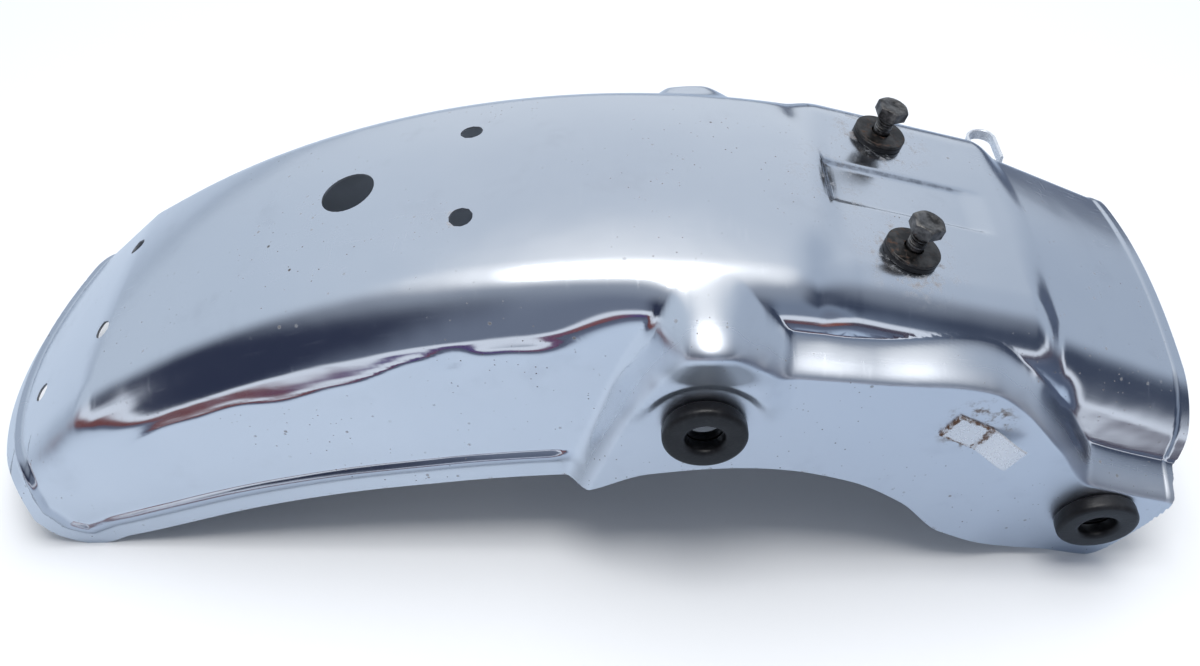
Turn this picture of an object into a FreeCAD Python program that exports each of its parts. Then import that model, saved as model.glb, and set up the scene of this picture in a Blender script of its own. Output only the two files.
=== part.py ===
import FreeCAD, Part
import math
import os

os.makedirs("parts", exist_ok=True)
Vector = FreeCAD.Vector

# Millimetres. X points to the front, Y to the left side, Z up.
# Heights are drawn from the top of the crown, and saving sets the lowest listed point of the edge on Z = 0.

# Sheet and the line of its crown in side view.
sheet = 1.0
crown_radius = 436.0
crown_peak_x = 26.0
tail_break_x = -217.0
tail_slope = 0.94
front_break_x = 205.0
tail_end_x = -283.0
front_end_x = 266.0
front_lean = 5.0
front_lean_depth = 45.0

# Cross-section of the body.
cross_radius = 240.0
shoulder_radius = 26.0
body_half_width = 75.0
skirt_half_width = 80.0
crease_soft = 9.0
lip_start_x = -196.0
lip_full_x = -262.0
lip_half_width = 80.0
lip_cross_radius = 280.0
tail_plan_radius = 139.0
lip_side_drop = 20.0

# Bead pressed outwards along the skirt edge and round the tail.
bead_from_edge = 12.0
bead_width = 9.0
bead_height = 2.0
bead_end_x = -4.0

# Flat side plates, with a raised ear round the middle grommet.
plate_half_width = 90.0
plate_step = 11.0
plate_tip = math.radians(5.0)
plate_tip_start_x = 180.0
plate_tip_end_x = 206.0
ear_x = 54.0
ear_drop = 69.3
ear_arc_radius = 26.0
ear_arc_rise = 2.5
ear_arc_soft = 3.0
ear_arc_fade = 16.0
ear_arc_end = 22.0
ear_arc_end_blend = 14.0
front_mount_x = 235.5
front_mount_drop = 80.0

# Flat platform on the crown for the two bolts, with a shallow recess between them.
bolt_x = 139.0
bolt_spacing = 80.0
platform_drop = 4.0
platform_blend = 16.0
platform_radius = 9000.0
platform_start_x = 98.0
platform_end_x = 206.0
recess_start_x = 107.0
recess_end_x = 186.0
recess_half_width = 15.0
recess_depth = 1.6
recess_front_blend = 40.0
recess_wall = 5.0

# Hem line near the front edge.
hem_from_edge = 5.5
hem_rise = 0.7

# Holes in the sheet.
crown_hole_x = -47.0
crown_hole_spacing = 59.0
crown_hole_diameter = 10.5
wiring_hole_x = -100.0
wiring_hole_diameter = 25.0
tail_hole_diameter = 9.5
tail_pair_x = -217.0
tail_pair_spacing = 57.0
tail_single_x = -255.0
tail_single_y = -35.0

# Rubber grommets.
grommet_diameter = 36.0
grommet_proud = 8.0
grommet_bore = 16.0
grommet_neck = 25.0
grommet_back_diameter = 31.0
grommet_back = 3.0
grommet_chamfer = 2.0

# Bolts, washers and weld nuts.
thread_diameter = 8.0
bolt_clearance = 0.5
head_across_flats = 13.0
head_height = 5.5
shank_shown = 9.0
washer_diameter = 24.0
steel_washer = 1.5
rubber_washer = 2.5
nut_across_flats = 13.0
nut_height = 6.5
thread_past_nut = 1.5

# Harness clip on the right plate and harness loop on the left shoulder.
clip_x = 163.5
clip_drop = 51.0
clip_turn = math.radians(-29.0)
clip_length = 17.0
clip_width = 14.0
clip_metal = 1.2
tongue_length = 17.0
tongue_rise = 6.0
loop_x = 208.0
loop_drop = 18.4
loop_width = 15.0
loop_reach = 23.0
loop_strip = 6.0
loop_metal = 1.5

# How finely the sheet is drawn: points in half a section, the length that one radian of bend counts for,
# the margin of the blank past its outline, and the pitch of the sections in each stretch of the length.
section_points = 23
turning_length = 7.0
blank_margin = 8.0
tail_pitch = 3.5
lip_pitch = 9.0
skirt_pitch = 16.0
ear_pitch = 6.5
plate_pitch = 11.0
front_pitch = 4.0
ear_reach_back = 70.0
ear_reach_ahead = 46.0
front_stretch = 12.0


# Depths below the crown line, against X: the lower edge, the top line of the side plate and the crease.
edge_depth = [
    (lip_full_x - 40.0, 9.3),
    (lip_full_x + 2.0, 36.8),
    (lip_full_x + 11.0, 59.2),
    (lip_full_x + 34.0, 86.9),
    (-189.0, 99.5),
    (-153.0, 104.8),
    (-104.0, 110.4),
    (-57.0, 114.2),
    (0.0, 115.4),
    (ear_x - 22.0, 103.2),
    (ear_x + 38.0, 95.2),
    (ear_x + 66.0, 97.9),
    (ear_x + 92.0, 107.4),
    (front_mount_x - 67.0, 123.3),
    (front_mount_x - 38.0, 126.1),
    (front_mount_x - 12.0, 119.4),
    (front_mount_x + 9.0, 115.0),
    (front_mount_x + 27.0, 79.9),
    (front_end_x + front_lean, 42.7),
]
plate_depth = [
    (ear_x - 94.0, 226.0),
    (ear_x - 64.0, 149.7),
    (ear_x - 49.0, 101.7),
    (ear_x - 23.0, 35.2),
    (ear_x - 9.0, 19.8),
    (ear_x + 7.0, 17.8),
    (ear_x + 22.0, 24.3),
    (ear_x + 34.0, 30.8),
    (ear_x + 67.0, 28.7),
    (171.0, 20.4),
    (187.0, 25.4),
    (206.0, 37.3),
    (front_mount_x - 6.5, 56.0),
    (front_end_x + 10.0, 51.0),
]
crease_depth = [
    (tail_end_x - 10.0, 12.0),
    (-232.0, 24.0),
    (-204.0, 39.0),
    (-160.0, 47.0),
    (-108.0, 59.0),
    (-49.0, 70.0),
    (11.0, 73.0),
    (front_end_x + 30.0, 73.0),
]


def smooth(start, end, value):
    """Rise from 0 at start to 1 at end without a corner."""
    share = min(1.0, max(0.0, (value - start) / (end - start)))
    return share * share * (3.0 - 2.0 * share)


def along(points, x):
    """Value at x on a smooth line that passes through the points without overshoot."""
    if x <= points[0][0]:
        return points[0][1]
    if x >= points[-1][0]:
        return points[-1][1]
    steps = []
    for before, after in zip(points, points[1:]):
        steps.append((after[1] - before[1]) / (after[0] - before[0]))
    slopes = [steps[0]]
    for left, right in zip(steps, steps[1:]):
        slopes.append(0.0 if left * right <= 0.0 else 2.0 * left * right / (left + right))
    slopes.append(steps[-1])
    index = 0
    while points[index + 1][0] < x:
        index += 1
    x0, z0 = points[index]
    x1, z1 = points[index + 1]
    width = x1 - x0
    share = (x - x0) / width
    rest = 1.0 - share
    blend = share * share * (3.0 - 2.0 * share)
    hermite = width * share * rest * (rest * slopes[index] - share * slopes[index + 1])
    return z0 + (z1 - z0) * blend + hermite


def arc_height(x):
    return -crown_radius + math.sqrt(crown_radius ** 2 - (x - crown_peak_x) ** 2)


def arc_slope(x):
    return -(x - crown_peak_x) / math.sqrt(crown_radius ** 2 - (x - crown_peak_x) ** 2)


def crown_height(x):
    """Centre line of the crown: an arc, a straight tail and a straight front end."""
    if x < tail_break_x:
        return arc_height(tail_break_x) + tail_slope * (x - tail_break_x)
    if x > front_break_x:
        return arc_height(front_break_x) + arc_slope(front_break_x) * (x - front_break_x)
    return arc_height(x)


def edge_height(x):
    return crown_height(x) - along(edge_depth, x)


def plate_top_height(x):
    return crown_height(x) - along(plate_depth, x)


def platform_share(x):
    rise = smooth(platform_start_x, platform_start_x + platform_blend, x)
    return rise * (1.0 - smooth(platform_end_x - platform_blend, platform_end_x, x))


def platform_height(x):
    return arc_height(bolt_x) - platform_drop + arc_slope(bolt_x) * (x - bolt_x)


def edge_distance(x, z):
    """Distance from a point in side view to the lower edge."""
    nearest = 1.0e9
    for step in range(-12, 13):
        at = x + 1.5 * step
        nearest = min(nearest, math.hypot(at - x, edge_height(at) - z))
    return nearest


def skirt_line(x):
    """Lower edge without its steep tail and front corners."""
    return edge_height(min(front_mount_x + 9.0, max(lip_full_x + 34.0, x)))


def tail_edge_x(y):
    """Plan arc that ends the tail lip."""
    return tail_end_x + tail_plan_radius - math.sqrt(tail_plan_radius ** 2 - y * y)


def crown_form(x):
    """Height, radius across and half-width of the body at x."""
    lip = 1.0 - smooth(lip_full_x, lip_start_x, x)
    share = platform_share(x)
    across = cross_radius + (lip_cross_radius - cross_radius) * lip
    across = 1.0 / ((1.0 - share) / across + share / platform_radius)
    top = (1.0 - share) * crown_height(x) + share * platform_height(x)
    return top, across, body_half_width + (lip_half_width - body_half_width) * lip


def body_section(x, count_crown=14, count_shoulder=8, count_side=70):
    """Half section of the body at x before the side plate is pressed out."""
    top, across, wall = crown_form(x)
    lean = math.asin((wall - shoulder_radius) / (across - shoulder_radius))
    middle = top - across
    points = []
    for step in range(count_crown):
        angle = lean * step / count_crown
        points.append((across * math.sin(angle), middle + across * math.cos(angle)))
    centre_y = wall - shoulder_radius
    centre_z = middle + (across - shoulder_radius) * math.cos(lean)
    for step in range(count_shoulder):
        angle = lean + (math.pi / 2.0 - lean) * step / count_shoulder
        y = centre_y + shoulder_radius * math.sin(angle)
        points.append((y, centre_z + shoulder_radius * math.cos(angle)))
    crease = min(crown_height(x) - along(crease_depth, x), centre_z - 0.5 * crease_soft)
    bottom = skirt_line(x) - blank_margin
    flare = (skirt_half_width - wall) / max(2.0 * crease_soft, crease - skirt_line(x))
    start = crease - centre_z
    offset = 0.5 * (start + math.hypot(start, crease_soft))
    for step in range(count_side + 1):
        z = centre_z + (bottom - centre_z) * step / count_side
        below = crease - z
        bend = 0.5 * (below + math.hypot(below, crease_soft))
        points.append((wall + flare * (bend - offset), z))
    return points


def plate_distance(x, z):
    """How far a point lies below the top line of the side plate, measured square to that line."""
    slope = (plate_top_height(x + 1.0) - plate_top_height(x - 1.0)) / 2.0
    return (plate_top_height(x) - z) / math.hypot(1.0, slope)


def plate_width(x, z):
    tip = math.tan(plate_tip) * smooth(plate_tip_start_x, plate_tip_end_x, x)
    return plate_half_width + tip * (z - front_mount_z)


def outer_section(x):
    """Half section of the outer face at x, from the crown centre to below the edge."""
    finished = []
    for y, z in body_section(x):
        pressed = smooth(-0.5 * plate_step, 0.5 * plate_step, plate_distance(x, z))
        y = y + pressed * (plate_width(x, z) - y)
        reach = math.hypot(x - ear_x, z - ear_z)
        arc = smooth(ear_arc_radius - ear_arc_soft, ear_arc_radius + ear_arc_soft, reach)
        arc *= smooth(0.0, ear_arc_fade, z - ear_z)
        arc *= 1.0 - smooth(ear_x + ear_arc_end, ear_x + ear_arc_end + ear_arc_end_blend, x)
        finished.append(Vector(x, -y - ear_arc_rise * arc * pressed, z))
    return finished


def recess_share(x, y):
    ends = smooth(recess_start_x, recess_start_x + recess_wall, x)
    ends *= 1.0 - smooth(recess_end_x - recess_front_blend, recess_end_x, x)
    return ends * (1.0 - smooth(recess_half_width - recess_wall, recess_half_width, abs(y)))


def bead_share(x, y, z):
    if x > bead_end_x + bead_width:
        return 0.0
    lip_run = (x - tail_edge_x(min(abs(y), lip_half_width))) * math.hypot(1.0, tail_slope)
    on_lip = x < lip_start_x and crown_height(x) - z < lip_side_drop
    run = lip_run if on_lip else min(edge_distance(x, z), abs(lip_run))
    side = (run - bead_from_edge) / (0.5 * bead_width)
    if abs(side) >= 1.0:
        return 0.0
    return (1.0 - side * side) ** 2 * (1.0 - smooth(bead_end_x - bead_width, bead_end_x + bead_width, x))


def front_line_x(z):
    """Front edge in side view, leaning forward towards its lower corner."""
    top = crown_height(front_end_x)
    return front_end_x + front_lean * (1.0 - smooth(top - front_lean_depth, top, z))


def pressed_rise(p):
    """How far the bead, the recess and the hem move a point of the outer face outwards."""
    hem_x = front_line_x(p.z) - hem_from_edge
    hem = hem_rise * smooth(hem_x - 1.0, hem_x + 1.0, p.x)
    return bead_height * bead_share(p.x, p.y, p.z) - recess_depth * recess_share(p.x, p.y) + hem


def spaced(start, end, pitch):
    count = max(1, round((end - start) / pitch))
    return [start + (end - start) * step / count for step in range(count)]


def stations():
    """Places of the sections along X, closer together where the form changes quickly."""
    values = spaced(tail_end_x - blank_margin, lip_full_x, tail_pitch)
    values += spaced(lip_full_x, lip_start_x, lip_pitch)
    values += spaced(lip_start_x, ear_x - ear_reach_back, skirt_pitch)
    values += spaced(ear_x - ear_reach_back, ear_x + ear_reach_ahead, ear_pitch)
    values += spaced(ear_x + ear_reach_ahead, front_end_x - front_stretch, plate_pitch)
    values += spaced(front_end_x - front_stretch, front_end_x + blank_margin, front_pitch)
    values.append(front_end_x + blank_margin)
    return values


def in_plane(normal, distance):
    """Shift inside a cross-section that moves a face by the distance square to itself."""
    flat = Vector(0.0, normal.y, normal.z)
    return flat.multiply(distance / max(0.2, flat.dot(flat)))


def sheet_section(x):
    """Half section of both faces of the sheet at x, as two lists of points."""
    here = outer_section(x)
    before = outer_section(x - 0.5)
    after = outer_section(x + 0.5)
    outer = []
    inner = []
    for j, p in enumerate(here):
        across = here[min(j + 1, len(here) - 1)].sub(here[max(j - 1, 0)])
        normal = across.cross(after[j].sub(before[j]))
        normal.normalize()
        if j == 0:
            normal.y = 0.0
        outer.append(p.add(in_plane(normal, pressed_rise(p))))
        inner.append(outer[-1].sub(in_plane(normal, sheet)))
    return outer, inner


def even_shares(outer, inner, count):
    """Points at equal shares of length and turning, so that bends get more of them."""
    run = [0.0]
    for j in range(1, len(outer)):
        step = outer[j].sub(outer[j - 1])
        before = outer[j - 1].sub(outer[max(j - 2, 0)]) if j > 1 else step
        run.append(run[-1] + step.Length + turning_length * step.getAngle(before))
    new_outer = []
    new_inner = []
    j = 1
    for share in range(count):
        target = run[-1] * share / (count - 1)
        while run[j] < target and j < len(run) - 1:
            j += 1
        part = min(1.0, (target - run[j - 1]) / (run[j] - run[j - 1]))
        new_outer.append(outer[j - 1].add(outer[j].sub(outer[j - 1]).multiply(part)))
        new_inner.append(inner[j - 1].add(inner[j].sub(inner[j - 1]).multiply(part)))
    return new_outer, new_inner


def whole(half):
    """Both sides of a section, from the left edge over the crown to the right edge."""
    return [Vector(p.x, -p.y, p.z) for p in half[:0:-1]] + half


def smooth_edge(points):
    """Smooth edge of degree 3 whose control points are the given points."""
    count = len(points)
    curve = Part.BSplineCurve()
    knots = [float(step) for step in range(count - 2)]
    curve.buildFromPolesMultsKnots(points, [4] + [1] * (count - 4) + [4], knots, False, 3)
    return curve.toShape()


def sheet_blank():
    """Loft through closed cross-sections of the sheet, larger than its outline all round."""
    wires = []
    for x in stations():
        outer, inner = even_shares(*sheet_section(x), section_points)
        upper = whole(outer)
        lower = whole(inner)
        left = Part.makeLine(upper[0], lower[0])
        right = Part.makeLine(upper[-1], lower[-1])
        wires.append(Part.Wire([smooth_edge(upper), right, smooth_edge(lower), left]))
    return Part.makeLoft(wires, True, True)


def side_keeper():
    """Everything above the lower edge and behind the front edge, as a block across the part."""
    half = plate_half_width + 40.0
    high = 60.0
    first = edge_depth[0][0]
    last = edge_depth[-1][0]
    edge_points = []
    for x in spaced(first, last, 5.0) + [last]:
        edge_points.append(Vector(x, -half, edge_height(x)))
    lower = Part.BSplineCurve()
    lower.interpolate(edge_points)
    front_points = []
    for step in range(7):
        z = edge_points[-1].z + (high - edge_points[-1].z) * (step / 6.0) ** 2
        front_points.append(Vector(front_line_x(z), -half, z))
    front_points[0] = edge_points[-1]
    front = Part.BSplineCurve()
    front.interpolate(front_points)
    corner = Vector(first, -half, high)
    top = Part.makeLine(front_points[-1], corner)
    back = Part.makeLine(corner, edge_points[0])
    wire = Part.Wire([lower.toShape(), front.toShape(), top, back])
    return Part.Face(wire).extrude(Vector(0.0, 2.0 * half, 0.0))


def plan_keeper():
    """Everything ahead of the plan arc of the tail."""
    half = plate_half_width + 30.0
    low = lowest - 20.0
    left = Vector(tail_edge_x(half), half, low)
    right = Vector(tail_edge_x(half), -half, low)
    arc = Part.Arc(right, Vector(tail_end_x, 0.0, low), left).toShape()
    far = front_end_x + 40.0
    lines = Part.makePolygon([left, Vector(far, half, low), Vector(far, -half, low), right])
    wire = Part.Wire([arc] + lines.Edges)
    return Part.Face(wire).extrude(Vector(0.0, 0.0, 60.0 - low))


def crown_point(x, y):
    """Point of the outer face on the crown, before the recess."""
    top, across, wall = crown_form(x)
    return Vector(x, y, top - across + math.sqrt(across * across - y * y))


def crown_normal(x, y):
    along_x = crown_point(x + 0.5, y).sub(crown_point(x - 0.5, y))
    across = crown_point(x, y + 0.5).sub(crown_point(x, y - 0.5))
    normal = along_x.cross(across)
    normal.normalize()
    return normal


def plate_point(x, z):
    return Vector(x, -plate_width(x, z), z)


def plate_normal(x, z):
    slope = plate_width(x, z + 0.5) - plate_width(x, z - 0.5)
    normal = Vector(0.0, -1.0, -slope)
    normal.normalize()
    return normal


def placed(shape, point, normal):
    """Put a shape drawn on local Z, with the sheet face at local zero, on the sheet."""
    result = shape.copy()
    turn = FreeCAD.Rotation(Vector(0.0, 0.0, 1.0), normal)
    result.Placement = FreeCAD.Placement(point, turn).multiply(result.Placement)
    return result


def mirrored(shape):
    return shape.mirror(Vector(0.0, 0.0, 0.0), Vector(0.0, 1.0, 0.0))


def hole(diameter, point, normal):
    drill = Part.makeCylinder(diameter / 2.0, 16.0, Vector(0.0, 0.0, -8.0))
    return placed(drill, point, normal)


def ring(outer, inner, bottom, height):
    body = Part.makeCylinder(outer / 2.0, height, Vector(0.0, 0.0, bottom))
    return body.cut(Part.makeCylinder(inner / 2.0, height + 2.0, Vector(0.0, 0.0, bottom - 1.0)))


def hexagon(across_flats, bottom, height):
    radius = across_flats / math.sqrt(3.0)
    points = []
    for step in range(7):
        angle = math.radians(60.0 * step)
        points.append(Vector(radius * math.cos(angle), radius * math.sin(angle), bottom))
    return Part.Face(Part.makePolygon(points)).extrude(Vector(0.0, 0.0, height))


def grommet():
    """Rubber bush: a thick bevelled flange outside, a neck in the hole and a thin flange behind."""
    radius = grommet_diameter / 2.0
    straight = grommet_proud - grommet_chamfer
    flange = Part.makeCylinder(radius, straight)
    bevel = Part.makeCone(radius, radius - grommet_chamfer, grommet_chamfer, Vector(0.0, 0.0, straight))
    neck = Part.makeCylinder(grommet_neck / 2.0, sheet, Vector(0.0, 0.0, -sheet))
    back_bottom = -sheet - grommet_back
    back = Part.makeCylinder(grommet_back_diameter / 2.0, grommet_back, Vector(0.0, 0.0, back_bottom))
    body = flange.fuse([bevel, neck, back])
    bore = Part.makeCylinder(grommet_bore / 2.0, 60.0, Vector(0.0, 0.0, -30.0))
    return body.cut(bore).removeSplitter()


def bolt():
    """Hex bolt whose head stands clear of the washers."""
    washers = rubber_washer + steel_washer
    under_head = washers + shank_shown
    foot = -sheet - nut_height - thread_past_nut
    shank = Part.makeCylinder(thread_diameter / 2.0, under_head - foot, Vector(0.0, 0.0, foot))
    head = hexagon(head_across_flats, under_head, head_height)
    corner = head_across_flats / math.sqrt(3.0)
    flat = 0.47 * head_across_flats
    rise = (corner - flat) * math.tan(math.radians(30.0))
    cap = Part.makeCone(corner, flat, rise, Vector(0.0, 0.0, under_head + head_height - rise))
    block = Part.makeCylinder(corner, head_height - rise, Vector(0.0, 0.0, under_head))
    head = head.common(block.fuse(cap))
    return shank.fuse(head).removeSplitter()


def weld_nut():
    body = hexagon(nut_across_flats, -sheet - nut_height, nut_height)
    return body.cut(Part.makeCylinder(thread_diameter / 2.0, 40.0, Vector(0.0, 0.0, -20.0)))


def harness_clip():
    """Bent strip: a flat base on the right plate and a tongue that lifts off towards the front."""
    back = -clip_length / 2.0
    start = clip_length / 2.0
    under = [Vector(back, 0.0, 0.0)]
    for share, lift in ((0.0, 0.0), (0.2, 0.08), (0.5, 0.55), (0.75, 0.92), (1.0, 1.0)):
        under.append(Vector(start + tongue_length * share, 0.0, tongue_rise * lift))
    over = [Vector(p.x, 0.0, p.z + clip_metal) for p in reversed(under)]
    face = Part.Face(Part.makePolygon(under + over + under[:1]))
    strip = face.extrude(Vector(0.0, clip_width, 0.0))
    strip.translate(Vector(0.0, -clip_width / 2.0, 0.0))
    upright = FreeCAD.Rotation(Vector(1.0, 0.0, 0.0), 90.0)
    turn = FreeCAD.Rotation(Vector(0.0, 1.0, 0.0), -math.degrees(clip_turn))
    strip.Placement = FreeCAD.Placement(plate_point(clip_x, clip_z), turn.multiply(upright))
    return strip


def harness_loop(sheet_solid):
    """Strap bent to a U, standing out from the left shoulder wall."""
    radius = 0.5 * loop_width
    inner = radius - loop_metal
    wall = body_half_width - 6.0
    centre = body_half_width + loop_reach - radius
    outer_shape = Part.makeCylinder(radius, loop_strip, Vector(loop_x, centre, loop_z - loop_strip / 2.0))
    legs = Part.makeBox(2.0 * radius, centre - wall, loop_strip)
    legs.translate(Vector(loop_x - radius, wall, loop_z - loop_strip / 2.0))
    opening = Part.makeCylinder(inner, loop_strip, Vector(loop_x, centre, loop_z - loop_strip / 2.0))
    gap = Part.makeBox(2.0 * inner, centre - wall, loop_strip)
    gap.translate(Vector(loop_x - inner, wall, loop_z - loop_strip / 2.0))
    strap = outer_shape.fuse(legs).cut(opening.fuse(gap))
    pieces = strap.cut(sheet_solid).Solids
    return max(pieces, key=lambda piece: piece.Volume)


def finished_sheet():
    keeper = side_keeper().common(plan_keeper())
    solid = sheet_blank().common(keeper)
    drills = []
    for side in (-1.0, 1.0):
        at = (crown_hole_x, side * crown_hole_spacing / 2.0)
        drills.append(hole(crown_hole_diameter, crown_point(*at), crown_normal(*at)))
        at = (tail_pair_x, side * tail_pair_spacing / 2.0)
        drills.append(hole(tail_hole_diameter, crown_point(*at), crown_normal(*at)))
        at = (bolt_x, side * bolt_spacing / 2.0)
        drills.append(hole(thread_diameter + bolt_clearance, crown_point(*at), crown_normal(*at)))
    at = (wiring_hole_x, 0.0)
    drills.append(hole(wiring_hole_diameter, crown_point(*at), crown_normal(*at)))
    at = (tail_single_x, tail_single_y)
    drills.append(hole(tail_hole_diameter, crown_point(*at), crown_normal(*at)))
    for at in ((ear_x, ear_z), (front_mount_x, front_mount_z)):
        drill = hole(grommet_neck, plate_point(*at), plate_normal(*at))
        drills += [drill, mirrored(drill)]
    return solid.cut(drills).Solids[0]


def save(shape, name):
    """Write one piece with the part centred on its length and its lowest listed edge point on Z = 0."""
    shape = shape.copy()
    shape.translate(Vector(-0.5 * (tail_end_x + front_end_x + front_lean), 0.0, -lowest))
    shape.exportStep(os.path.join("parts", name + ".step"))
    print(name, shape.isValid(), round(shape.Volume, 1))


def save_pair(shape, name):
    """Save the right-hand piece and its mirror on the left."""
    save(shape, "right_" + name)
    save(mirrored(shape), "left_" + name)


# Heights that follow the crown line.
ear_z = crown_height(ear_x) - ear_drop
front_mount_z = crown_height(front_mount_x) - front_mount_drop
clip_z = crown_height(clip_x) - clip_drop
loop_z = crown_height(loop_x) - loop_drop
lowest = min(edge_height(x) for x, depth in edge_depth)

mudguard = finished_sheet()
save(mudguard, "mudguard_sheet")

for label, x, z in (("middle_grommet", ear_x, ear_z), ("front_grommet", front_mount_x, front_mount_z)):
    save_pair(placed(grommet(), plate_point(x, z), plate_normal(x, z)), label)

bolt_y = -bolt_spacing / 2.0
seat = crown_point(bolt_x, bolt_y)
upward = crown_normal(bolt_x, bolt_y)
washer_hole = thread_diameter + bolt_clearance
save_pair(placed(ring(washer_diameter, washer_hole, 0.0, rubber_washer), seat, upward), "rubber_washer")
steel = ring(washer_diameter, washer_hole, rubber_washer, steel_washer)
save_pair(placed(steel, seat, upward), "steel_washer")
save_pair(placed(bolt(), seat, upward), "mount_bolt")
save_pair(placed(weld_nut(), seat, upward), "weld_nut")

save(harness_clip(), "right_harness_clip")
save(harness_loop(mudguard), "left_harness_loop")
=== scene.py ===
import math

import bmesh
import bpy
import numpy as np
from mathutils import Matrix, Vector


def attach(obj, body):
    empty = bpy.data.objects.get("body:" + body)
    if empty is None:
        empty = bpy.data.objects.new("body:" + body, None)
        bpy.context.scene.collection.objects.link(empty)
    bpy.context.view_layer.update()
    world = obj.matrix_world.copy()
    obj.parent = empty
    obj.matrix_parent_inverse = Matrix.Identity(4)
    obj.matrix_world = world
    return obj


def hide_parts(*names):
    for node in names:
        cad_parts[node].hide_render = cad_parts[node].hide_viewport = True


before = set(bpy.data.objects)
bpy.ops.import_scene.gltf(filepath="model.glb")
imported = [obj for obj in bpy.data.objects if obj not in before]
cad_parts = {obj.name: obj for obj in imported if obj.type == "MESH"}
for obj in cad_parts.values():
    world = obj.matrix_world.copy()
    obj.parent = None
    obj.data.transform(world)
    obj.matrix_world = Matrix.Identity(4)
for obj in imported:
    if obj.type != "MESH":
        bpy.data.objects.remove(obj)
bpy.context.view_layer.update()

MM = 0.001
SIDES = (("right", -1.0), ("left", 1.0))

# The pressed sheet, in millimetres, by the rules of the part's source. The top of the ears is softer than
# there (the spout values), and the walls and the front end of the recess are crisper.
SHEET = 1.0
CROWN_RADIUS, CROWN_PEAK = 436.0, 26.0
TAIL_BREAK, TAIL_SLOPE, FRONT_BREAK = -217.0, 0.94, 205.0
TAIL_END, FRONT_END, FRONT_LEAN, LEAN_DEPTH = -283.0, 266.0, 5.0, 45.0
TAIL_PLAN, TAIL_PLAN_HALF = 139.0, 120.0
CROSS_RADIUS, SHOULDER, BODY_HALF, SKIRT_HALF, CREASE_SOFT = 240.0, 26.0, 75.0, 80.0, 9.0
LIP_START, LIP_FULL, LIP_HALF, LIP_CROSS, LIP_DROP = -196.0, -262.0, 80.0, 280.0, 20.0
BEAD_IN, BEAD_WIDE, BEAD_HIGH, BEAD_END = 12.0, 9.0, 2.0, -4.0
PLATE_HALF, PLATE_STEP, PLATE_TIP = 90.0, 11.0, math.tan(math.radians(5.0))
TIP_START, TIP_END = 180.0, 206.0
EAR_X, EAR_DROP, EAR_ARC, EAR_RISE = 54.0, 69.3, 26.0, 2.5
EAR_BLEND, EAR_FADE, EAR_STOP = 3.0, 16.0, (EAR_X + 22.0, EAR_X + 36.0)
SPOUT_SOFT, SPOUT_WIDE = 8.0, 24.0
FRONT_X, FRONT_DROP = 235.5, 80.0
BOLT_X, BOLT_Y, PLATFORM_DROP = 139.0, 40.0, 4.0
PLATFORM_A, PLATFORM_B, PLATFORM_BLEND, PLATFORM_RADIUS = 98.0, 206.0, 16.0, 9000.0
RECESS_A, RECESS_B, RECESS_HALF, RECESS_DEEP = 107.0, 186.0, 15.0, 1.6
RECESS_WALL, RECESS_FADE = 3.5, 14.0
HEM_IN, HEM_RISE, HEM_SOFT = 5.5, 0.7, 1.0
SKIRT_A, SKIRT_B = LIP_FULL + 34.0, FRONT_X + 9.0
SHIFT = -0.5 * (TAIL_END + FRONT_END + FRONT_LEAN)

# Radius and place of the holes, in millimetres.
CROWN_HOLE, CROWN_HOLE_X, CROWN_HOLE_Y = 5.25, -47.0, 29.5
TAIL_HOLE, TAIL_HOLE_X, TAIL_HOLE_Y = 4.75, -217.0, 28.5
LONE_HOLE_X, LONE_HOLE_Y = -255.0, -35.0
WIRING_HOLE, WIRING_HOLE_X = 12.5, -100.0

# Depths below the crown line against X, as in the part's source.
EDGE_DEPTH = [(LIP_FULL - 40.0, 9.3), (LIP_FULL + 2.0, 36.8), (LIP_FULL + 11.0, 59.2), (SKIRT_A, 86.9),
              (-189.0, 99.5), (-153.0, 104.8), (-104.0, 110.4), (-57.0, 114.2), (0.0, 115.4),
              (EAR_X - 22.0, 103.2), (EAR_X + 38.0, 95.2), (EAR_X + 66.0, 97.9), (EAR_X + 92.0, 107.4),
              (FRONT_X - 67.0, 123.3), (FRONT_X - 38.0, 126.1), (FRONT_X - 12.0, 119.4),
              (SKIRT_B, 115.0), (FRONT_X + 27.0, 79.9), (FRONT_END + FRONT_LEAN, 42.7)]
PLATE_DEPTH = [(EAR_X - 94.0, 226.0), (EAR_X - 64.0, 149.7), (EAR_X - 49.0, 101.7), (EAR_X - 23.0, 35.2),
               (EAR_X - 9.0, 19.8), (EAR_X + 7.0, 17.8), (EAR_X + 22.0, 24.3), (EAR_X + 34.0, 30.8),
               (EAR_X + 67.0, 28.7), (171.0, 20.4), (187.0, 25.4), (206.0, 37.3), (FRONT_X - 6.5, 56.0),
               (FRONT_END + 10.0, 51.0)]
CREASE_DEPTH = [(TAIL_END - 10.0, 12.0), (-232.0, 24.0), (-204.0, 39.0), (-160.0, 47.0), (-108.0, 59.0),
                (-49.0, 70.0), (11.0, 73.0), (FRONT_END + 30.0, 73.0)]

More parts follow.
